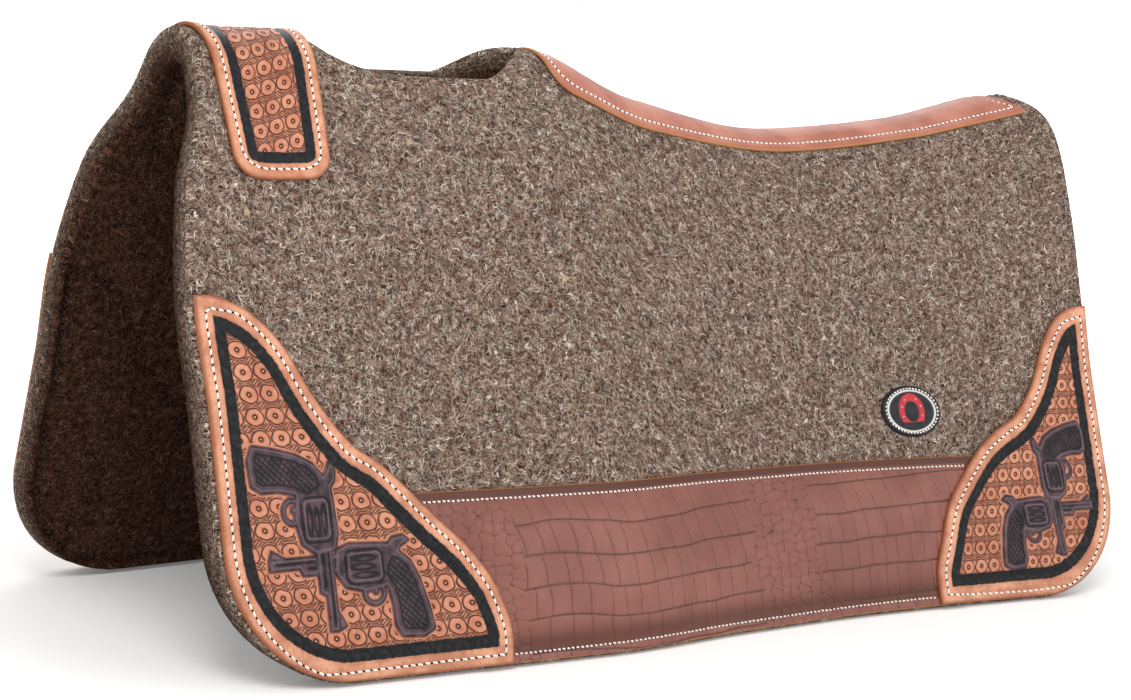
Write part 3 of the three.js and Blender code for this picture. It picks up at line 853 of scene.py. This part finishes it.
def crossed_revolvers(y, z, mirror, barrel_y, muzzle_z, muzzle_y, barrel_z, scale):
    """The dyed motif of a corner, one revolver upright with its muzzle down over one lying level."""
    a, b = y * mirror, z
    upright = stack(47 - (b - muzzle_z) / scale, 5.2 + (a - barrel_y * mirror) / scale)
    level = stack(47 - (a - muzzle_y * mirror) / scale, 5.2 + (b - barrel_z) / scale)
    shape = np.full((4, len(y)), NO_MOTIF)
    height = np.zeros(len(y))
    for place in (level, upright):
        near = (np.abs(place[:, 0]) < 62) & (np.abs(place[:, 1]) < 48)
        *distances, rise = revolver(place[near])
        distances = np.array(distances) * scale
        over = distances[0] < 0
        shape[1:, near] = np.where(over, distances[1:], shape[1:, near])
        shape[0, near] = np.where(over, distances[0], np.minimum(shape[0, near], distances[0]))
        cover = 1 - step(distances[0], -0.5, 0.6)
        height[near] = height[near] * (1 - cover) + rise * cover
        moat = ridge(distances[0] - 1.2, 1.0) * (1 - cover)
        height[near] -= 0.35 * moat
    return shape.clip(-NO_MOTIF, NO_MOTIF), height


LEATHERS = {"tooled_leather": (TOOLED_LEATHER, TOOLED), "plain_leather": (PLAIN_LEATHER, PLAIN),
            "embossed_leather": (SCALED_LEATHER, BAND)}


def leather_piece(name, node, kind, y, s, seat, relief, masks, side):
    """A closed leather piece from a grid of places, with its gap to the felt, relief and colour masks."""
    material, thickness = LEATHERS[kind]
    relief = relief.reshape(y.shape)
    top, back = pad_point(y, s, seat + thickness + relief), pad_point(y, s, seat)
    r, c = ring_places(y.shape[0] - 1, y.shape[1] - 1)
    edge = (thickness + relief)[r, c]
    under = (seat + np.zeros(y.shape))[r, c]
    layers = [pad_point(y[r, c], s[r, c], under + edge * w) for w in (0.7, 0.35, 0.0)]
    verts, faces = shell(top, layers, back, COARSE)
    extra = len(verts) - y.size
    attributes = {key: np.r_[mask, np.full(extra, mask[0])] for key, mask in masks.items()}
    raw = np.full(y.shape, 0.8)
    raw[1:-1, 1:-1] = 0.0
    attributes["raw_edge"] = np.r_[raw.ravel(), np.ones(extra)]
    attach(make_mesh(name, verts, faces, [material], attributes, side=side or 1), node, side)


def tooling(d, row_distance, border, u, v):
    """What all tooled leathers share: rounded edge, stitch groove, dyed border and stamped field.

    Returns the relief and the colour masks.
    """
    low, high = border
    band = step(d, low - 0.5, low + 0.5) * (1 - step(d, high - 0.5, high + 0.5))
    field = step(d, high - 0.4, high + 0.5)
    relief = field * stamp_relief(u, v) - 1.0 * ridge(d, 0.9) - 0.4 * ridge(row_distance, 0.9) - 0.4 * band
    relief -= 0.25 * ridge(d - low, 0.5) + 0.25 * ridge(d - high, 0.5)
    burnish_and_shade = 0.9 * ridge(d, 1.6) + 0.25 * ridge(row_distance, 1.2) + 0.4 * ridge(d - low, 1.2)
    masks = {"inset": d, "stamp_u": u, "stamp_v": v, "burnish_and_shade": np.clip(burnish_and_shade, 0, 1),
             "border_low": np.full_like(d, low), "border_high": np.full_like(d, high)}
    return relief, masks


def corner_leather(corner, side):
    fine = 1.15
    rows, columns = (int(round(length / fine / COARSE)) * COARSE for length in (corner.top, 205))
    heights, shares = np.linspace(FOOT, corner.top, rows + 1), np.linspace(0, 1, columns + 1)
    z, share = grid(heights, shares)
    outer = corner.outer(z)
    inner = np.where(z > corner.top - 0.01, outer - corner.side * 9, corner.inner(z))
    left, right = (outer, inner) if corner.side < 0 else (inner, outer)
    y = left + (right - left) * share
    places, d = rim_distance(y, z, 3)
    row_y, row_s = ROWS[f"{corner.kind}_corner"].T
    row_distance = distance(places, stack(row_y, section(row_y, row_s)[1]))
    pitch_y, pitch_z = corner.stamp_pitch
    v = places[:, 1] / pitch_z
    u = (places[:, 0] * -corner.side + 2.6 * v) / pitch_y * corner.side
    relief, masks = tooling(d, row_distance, (11.5, 19.5), u, v)
    (gun, drum, flute, panel), rise = crossed_revolvers(*places.T, -corner.side, *corner.motif)
    relief = relief * step(gun, -0.6, 0.6) * step(gun, 0.0, 1.8) + rise
    masks.update(gun=gun, drum=drum, flute=flute, panel=panel, ribbed=np.ones_like(d))
    name = f"{corner.kind}_corner_leather_{END[side]}"
    leather_piece(name, f"{corner.kind}_corner_{END[side]}", "tooled_leather", y, reach(y, z),
                  SEAT + corner.lift(y, z), relief, masks, side)


def strap_leather():
    s, share = grid(np.linspace(STRAP_DROP, -STRAP_DROP, 229), np.linspace(0, 1, 79))
    y = strap_yz(share, s)
    places, d = rim_distance(y, s, 2)
    from_middle = places[:, 0] + 314
    u, v = from_middle / 12.8, (69 - np.abs(places[:, 1]) - 0.29 * from_middle) / 13.6
    relief, masks = tooling(d, distance(places, ROWS["strap"]), (10.5, 18.0), u, v)
    masks.update(dict.fromkeys(("gun", "drum", "flute", "panel"), np.full_like(d, NO_MOTIF)))
    masks["ribbed"] = np.zeros_like(d)
    leather_piece("wither_strap_leather", "wither_strap", "tooled_leather", y, s, SEAT, relief, masks, 0)


def strip_leather():
    across, u = grid(np.linspace(-1, 1, 61), np.linspace(0, 1, 361))
    y, s = strip_ys(u, across)
    places, d = rim_distance(y, s, 2)
    groove = ridge(distance(places, ROWS["strip"]), 1.2)
    at = np.column_stack([places, np.zeros(len(places))])
    waves = 0.5 * noise(at * (0.5, 1, 1), 26, 4) + 0.25 * noise(at, 9, 6)
    relief = waves * step(d, 3, 10) + 1.2 * step(d, 6.5, 16) - 1.0 * ridge(d, 1.0) - 0.55 * groove
    masks = {"burnish_and_shade": np.clip(ridge(d, 2.2) + 0.3 * groove, 0, 1)}
    leather_piece("spine_strip_leather", "spine_strip", "plain_leather", y, s, SEAT, relief, masks, 0)


def scale_rows(y, z, at, rng):
    """Distance from the creases between long wavy rows of scales, and between the scales of a row."""
    h = z + 6.0 * noise(at * (1, 0.3, 1), 85, 1) + 1.3 * noise(at, 22, 2) - 0.02 * y
    rows = (-16.0, 5.0, 26.0, 45.0, 65.0, 86.0, 116.0)
    crease = np.minimum.reduce([np.abs(h - line) * 0.8 for line in rows[1:-1]]).clip(None, FAR)
    for index, (low, high) in enumerate(zip(rows[:-1], rows[1:])):
        cuts = np.cumsum(rng.uniform(10.5, 18.0, 70)) - 330
        bend = 1.3 * np.sin((h - low) / (high - low) * 3.1 + index) + 0.9 * noise(at, 9, index + 3)
        place = y + bend + (h - low) * 0.12 + 2.5 * np.sin(y / 37 + index)
        k = np.clip(np.searchsorted(cuts, place), 1, len(cuts) - 1)
        near = np.minimum(np.abs(place - cuts[k - 1]), np.abs(cuts[k] - place))
        crease = np.where((h >= low) & (h < high), np.minimum(crease, near * 1.5), crease)
    return crease


def scale_pebbles(y, z, rng):
    """Distance-like field of the creases between small irregular scales."""
    size, scatter = 8.4, 2.6
    sites = stack(*grid(np.arange(-36, 38), np.arange(-2, 16))).astype(float)
    sites = sites * (size * 1.15, size * 0.85) + rng.uniform(-scatter, scatter, sites.shape)
    nearest, second = np.full(len(y), 1e9), np.full(len(y), 1e9)
    for site_y, site_z in sites.reshape(-1, 2):
        d = np.hypot((y - site_y) * 0.85, z - site_z)
        second = np.minimum(second, np.maximum(nearest, d))
        nearest = np.minimum(nearest, d)
    return 0.1 + (second - nearest) * 0.9


def side_band(side):
    rows, columns = 22 * COARSE, 108 * COARSE
    across, along = grid(np.linspace(0, 1, rows + 1), np.linspace(0, 1, columns + 1))
    z = FOOT + (BAND_TOP_FRONT + (BAND_TOP_REAR - BAND_TOP_FRONT) * along - FOOT) * across
    low, high = FRONT.inner(z) - TUCK, REAR.inner(z) + TUCK
    y = low + (high - low) * along
    fy, fz = y.ravel(), z.ravel()
    at = stack(fy, fz, np.zeros_like(fy))
    rng = np.random.default_rng(23)
    crease, pebbles = scale_rows(fy, fz, at, rng), scale_pebbles(fy, fz, rng)
    edge = 9 * noise(at, 26, 9)
    patch = np.maximum.reduce([1 - step(np.abs(fy - middle + edge), 26, 34) for middle in (-218, 46)])
    crease = np.where(patch > 0.5, pebbles, crease)

    d = np.minimum(fz - FOOT, band_top(fy) - fz)
    upper, lower = band_top(fy) - STITCH_INSET, STITCH_INSET
    t = np.clip((fz - lower) / (upper - lower), 0, 1)
    beside = np.minimum(fy - FRONT.inner(fz), REAR.inner(fz) - fy)
    puff = (1 - np.abs(2 * t - 1) ** 3.2) * step(beside, -2, 30)
    groove = np.maximum(ridge(fz - upper, 1.1), ridge(fz - lower, 1.1))
    lines = ridge(crease, 0.6) * (1 + 0.5 * patch)
    scaled = 1 - step(fz - upper, -1.5, 0.5)
    relief = 5.6 * puff - 0.6 * ridge(d, 0.7) - 0.6 * groove - 0.5 * lines * scaled
    relief += 0.16 * scaled * (1 - ridge(crease, 2.2)) + 0.5 * noise(at, 40, 7) * puff
    # Darker above the upper stitch row; painted shade above the lower row, where the puffed band curves
    # under.
    burnish_and_shade = np.clip(step(fz - upper, 0.5, 2) + 0.8 * ridge(fz - lower - 5, 8) * (fz > lower), 0, 1)
    masks = {"crease": np.where(scaled > 0.5, crease, FAR).clip(0, 3), "burnish_and_shade": burnish_and_shade}
    leather_piece(f"scaled_band_{END[side]}", f"side_band_{END[side]}", "embossed_leather", y, reach(y, z),
                  BAND_SEAT, relief, masks, side)


# ---- label
def label():
    """An oval patch with a raised rim, a pale ring and a plain horseshoe with its nail holes."""
    rings, turns = 40, 96
    radius, turn = np.linspace(0, 1, rings + 1)[1:], np.linspace(0, 2 * np.pi, turns, endpoint=False)
    rr, tt = grid(radius, turn)
    a, b = rr * np.cos(tt) * LABEL_WIDE, rr * np.sin(tt) * LABEL_HIGH
    shoe_wide, shoe_high, shoe_low = 9.5, 10.0, 0.3
    arc = np.hypot(a / shoe_wide, (b + shoe_low) / shoe_high)
    shoe = (1 - step(np.abs(arc - 1), 0.24, 0.30)) * step(b, -8.2, -7.4)
    nails = np.zeros_like(a)
    for angle in np.radians([-20, 20, 55, 125, 160, 200]):
        nail = np.hypot(a - shoe_wide * np.cos(angle), b + shoe_low - shoe_high * np.sin(angle))
        nails = np.maximum(nails, ridge(nail, 0.7))
    white = np.maximum(ridge(rr - 0.8, 0.03), nails * shoe)
    rim = ridge(rr - 0.93, 0.045)
    height = 1.6 + 0.9 * rim + 0.5 * shoe + 0.2 * white - 1.4 * step(rr, 0.965, 1.0)

    def place(a, b, offset):
        y, z = LABEL_Y + a, LABEL_Z + b
        return pad_point(y, reach(y, z), offset)

    centre = np.zeros(1)
    verts = np.vstack([place(centre, centre, 1.9), place(a, b, SEAT + height).reshape(-1, 3),
                       place(a[-1], b[-1], 0.0), place(centre, centre, 0.0)])
    ids = 1 + np.arange(rings * turns).reshape(rings, turns)
    low = 1 + rings * turns + np.arange(turns)
    loops = [*ids, low]
    quads = [stack(p, q, np.roll(q, -1), np.roll(p, -1)) for p, q in zip(loops[:-1], loops[1:])]
    tris = [stack(np.zeros(turns, int), ids[0], np.roll(ids[0], -1)),
            stack(np.full(turns, low[-1] + 1), np.roll(low, -1), low)]
    under = np.zeros(turns + 1)
    red = shoe * (white < 0.5)
    attributes = {"white": np.r_[0, white.ravel(), under], "red": np.r_[0, red.ravel(), under]}
    obj = make_mesh("label_oval", verts, [np.vstack(quads), np.vstack(tris)], [LABEL], attributes)
    attach(obj, "label_patch", 1)


# ---- stitches
def copies(verts, faces):
    """Vertices and face blocks of many like shapes, from (shapes, ..., 3) and the faces of one of them."""
    verts = verts.reshape(len(verts), -1, 3)
    offsets = (np.arange(len(verts)) * verts.shape[1])[:, None, None]
    blocks = [np.array(block) for block in faces]
    return verts.reshape(-1, 3), [(block + offsets).reshape(-1, block.shape[1]) for block in blocks]


def capsules(centres, tangents, normals, length, radius, lean=0.16):
    """One stitch per centre: a capsule lying along the row, a little aslant, its ends sunk in."""
    stations = (-0.5, -0.42, -0.2, 0.0, 0.2, 0.42, 0.5)
    girth = (0.25, 0.75, 1.0, 1.05, 1.0, 0.75, 0.25)
    sink = (-0.75, -0.35, -0.02, 0.08, -0.02, -0.35, -0.75)
    n, m = len(stations), 6
    side = np.cross(tangents, normals)
    direction = unit(tangents + lean * side)
    verts = np.zeros((len(centres), n, m, 3))
    for i, (station, g, k) in enumerate(zip(stations, girth, sink)):
        centre = centres + direction * station * length + normals * k * radius
        for j, angle in enumerate(np.linspace(0, 2 * np.pi, m, endpoint=False)):
            out = np.cos(angle) * side * 1.05 + np.sin(angle) * normals * 0.85
            verts[:, i, j] = centre + radius * g * out
    ids = np.arange(n * m).reshape(n, m)
    nxt = np.roll(np.arange(m), -1)
    quads = np.vstack([stack(a, a[nxt], b[nxt], b) for a, b in zip(ids[:-1], ids[1:])])
    caps = [(ids[0, 0], ids[0, i + 1], ids[0, i]) for i in range(1, m - 1)]
    caps += [(ids[-1, 0], ids[-1, i], ids[-1, i + 1]) for i in range(1, m - 1)]
    return copies(verts, (quads, caps))


def holes(centres, tangents, normals, radius):
    """A small dark dome at each needle hole: painted shade of the hole."""
    around = np.linspace(0, 2 * np.pi, 8, endpoint=False)
    side = np.cross(tangents, normals)
    out = [1.25 * np.cos(a) * tangents + np.sin(a) * side for a in around]
    rim = [centres + radius * direction - 0.25 * normals for direction in out]
    dome = [(0, i + 1, (i + 1) % 8 + 1) for i in range(8)]
    base = [(1, i + 2, i + 1) for i in range(1, 7)]
    return copies(np.stack([centres + 0.12 * normals] + rim, 1), [dome + base])


INNER_SEAT = 5.0 - FELT
TOP_THREAD, NEEDLE_HOLE_SHADE, SHADED_BOBBIN_THREAD = 0, 1, 2


def stitch_piece(name, node, row, lift, side, pitch, both_faces=True):
    """Separate lock stitches along a (y, s) row, with a dark dome of painted hole shade at each needle hole
    between them.

    lift is the row's height over the felt. The felt's inner face shows the same row in dark bobbin thread,
    its darkness painted shade.
    """
    rng = np.random.default_rng(sum(map(ord, name)))
    verts, faces, kinds = [], [], []

    def add(shapes, kind):
        start = sum(map(len, verts))
        verts.append(shapes[0])
        for block in shapes[1]:
            faces.append(block + start)
            kinds.append(np.full(len(block), kind))

    tracks = [(row, lift, 1)]
    if both_faces:
        share = reach(row[:, 0], 0.0, -FELT) / reach(row[:, 0], 0.0)
        tracks.append((stack(row[:, 0], row[:, 1] * share), INNER_SEAT, -1))
    for line, offset, facing in tracks:
        dense = resample(line, 1.0)
        lifts = offset(dense) if callable(offset) else offset
        track = resample(np.column_stack([pad_point(*dense.T, lifts), dense]), pitch)
        points, middle = track[:, :3], (track[1:] + track[:-1]) / 2
        tangent = unit(points[1:] - points[:-1])
        normal = pad_normal(middle[:, 3], middle[:, 4]) * facing
        normal = unit(normal - (normal * tangent).sum(1, keepdims=True) * tangent)
        jitter = rng.normal(0, 0.08, (len(middle), 3))
        radius, kind = (0.42 + 0.06 * pitch, TOP_THREAD) if facing > 0 else (0.5, SHADED_BOBBIN_THREAD)
        add(capsules(middle[:, :3] + jitter + normal * 0.15, tangent, normal, pitch * 0.74, radius), kind)
        normal, tangent = np.vstack([normal, normal[-1:]]), np.vstack([tangent, tangent[-1:]])
        # Dark domes of painted shade at the needle holes.
        add(holes(points + normal * 0.2, tangent, normal, 0.9), NEEDLE_HOLE_SHADE)
    materials = [THREAD, HOLE_SHADE, SHADED_BOBBIN]
    obj = make_mesh(name, np.vstack(verts), faces, materials, None, np.concatenate(kinds), side or 1)
    attach(obj, node, side)


def stitches():
    for side, end in END.items():
        for corner in (FRONT, REAR):
            key = f"{corner.kind}_corner"
            stitch_piece(f"{key}_stitches_{end}", f"{key}_thread_{end}", ROWS[key], corner.row_lift,
                         side, TOOLED_PITCH)
        for level in ("upper", "lower"):
            stitch_piece(f"band_{level}_stitches_{end}", f"side_band_{level}_thread_{end}",
                         ROWS[f"band_{level}"], BAND_SEAT + BAND - 0.5, side, BAND_PITCH)
    strap_lift, strip_lift = SEAT + TOOLED - STITCH_SINK, SEAT + PLAIN - 0.4
    stitch_piece("strap_stitches", "wither_strap_thread", ROWS["strap"], strap_lift, 0, TOOLED_PITCH)
    stitch_piece("strip_stitches", "spine_strip_thread", ROWS["strip"], strip_lift, 0, PLAIN_PITCH)
    turn = np.linspace(0, 2 * np.pi, 60)
    y, z = LABEL_Y + 0.885 * LABEL_WIDE * np.cos(turn), LABEL_Z + 0.87 * LABEL_HIGH * np.sin(turn)
    row = stack(y, reach(y, z))
    stitch_piece("label_stitches", "label_patch_thread", row, 2.2, 1, LABEL_PITCH, both_faces=False)


def seam_stitches(name, node, start, end):
    """The zigzag seam under the crown that joins the panels."""
    pitch, half_width = 4.5, 4.0
    y = np.linspace(start, end, int(round((end - start) / pitch)) + 1)
    x = np.where(np.arange(len(y)) % 2 == 0, -half_width, half_width)
    points = stack(x, y, spine_height(y) - FELT + 0.5)
    middle, tangent = (points[1:] + points[:-1]) / 2, points[1:] - points[:-1]
    lengths = np.linalg.norm(tangent, axis=1, keepdims=True)
    normal = np.tile((0.0, 0.0, -1.0), (len(middle), 1))
    verts, faces = capsules(middle, tangent / lengths, normal, lengths.mean(), 0.6, 0.0)
    attach(make_mesh(name, verts, faces, [THREAD]), node, 0)


# ---- the object
for half in (1, -1):
    felt_panel(half)
    corner_leather(FRONT, half)
    corner_leather(REAR, half)
    side_band(half)
strap_leather()
strip_leather()
label()
stitches()
seam_stitches("front_seam", "front_seam_thread", -362, -286)
seam_stitches("rear_seam", "rear_seam_thread", -96, 378)

# ---- floor, light and camera
visual_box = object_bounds()

paint = Shader("pale_floor", 0.9)
paint.set("Emission Color", "ffffff")
paint.set("Emission Strength", paint.vector_math("LENGTH", paint.place).spread(300, 2200, 0.12, 1.0))
HALF_FLOOR, FLOOR_GAP = 12000.0, 0.2
floor_z = visual_box[0].z * 1000 - FLOOR_GAP
corners = [(x * HALF_FLOOR, y * HALF_FLOOR, floor_z) for x, y in ((-1, -1), (1, -1), (1, 1), (-1, 1))]
make_mesh("floor", corners, [np.array([[0, 1, 2, 3]])], [paint.finish("f2f1ef")])

# The world lights the object a little less brightly than it shows behind it.
world = bpy.data.worlds.new("studio")
world.use_nodes = True
sky = world.node_tree
light = sky.nodes["Background"]
kinds = ("ShaderNodeBackground", "ShaderNodeLightPath", "ShaderNodeMixShader")
backdrop, seen, either = (sky.nodes.new(kind) for kind in kinds)
light.inputs["Strength"].default_value = 0.8
for background in (light, backdrop):
    background.inputs["Color"].default_value = (1.0, 1.0, 1.0, 1.0)
sky.links.new(seen.outputs["Is Camera Ray"], either.inputs[0])
sky.links.new(light.outputs[0], either.inputs[1])
sky.links.new(backdrop.outputs[0], either.inputs[2])
sky.links.new(either.outputs[0], sky.nodes["World Output"].inputs["Surface"])
bpy.context.scene.world = world


def area_light(name, place, target, size, power):
    data = bpy.data.lights.new(name, "AREA")
    data.shape, data.size, data.energy = "SQUARE", size, power
    obj = bpy.data.objects.new(name, data)
    bpy.context.scene.collection.objects.link(obj)
    obj.location = place
    obj.rotation_mode = "QUATERNION"
    obj.rotation_quaternion = (Vector(target) - Vector(place)).to_track_quat("-Z", "Y")


area_light("key", (1.5, -1.2, 2.3), (0.05, 0, 0.2), 1.2, 36)
area_light("fill", (2.4, 1.2, 1.2), (0.1, 0.1, 0.15), 1.6, 14)
area_light("back", (-1.8, 1.0, 1.8), (0, 0, 0.2), 1.5, 16)

camera_data = bpy.data.cameras.new("camera")
camera_data.sensor_width, camera_data.lens = 36.0, 88.24
camera = bpy.data.objects.new("camera", camera_data)
bpy.context.scene.collection.objects.link(camera)
azimuth, elevation, roll = np.radians((52.951, 8.745, 3.537))
turn, tilt = Matrix.Rotation(azimuth, 4, "Z"), Matrix.Rotation(np.pi / 2 - elevation, 4, "X")
place = Matrix.Translation((1.5941, -1.2427, 0.4797))
camera.matrix_world = place @ turn @ tilt @ Matrix.Rotation(roll, 4, "Z")
bpy.context.scene.camera = camera
bpy.context.scene.view_settings.view_transform = "Standard"
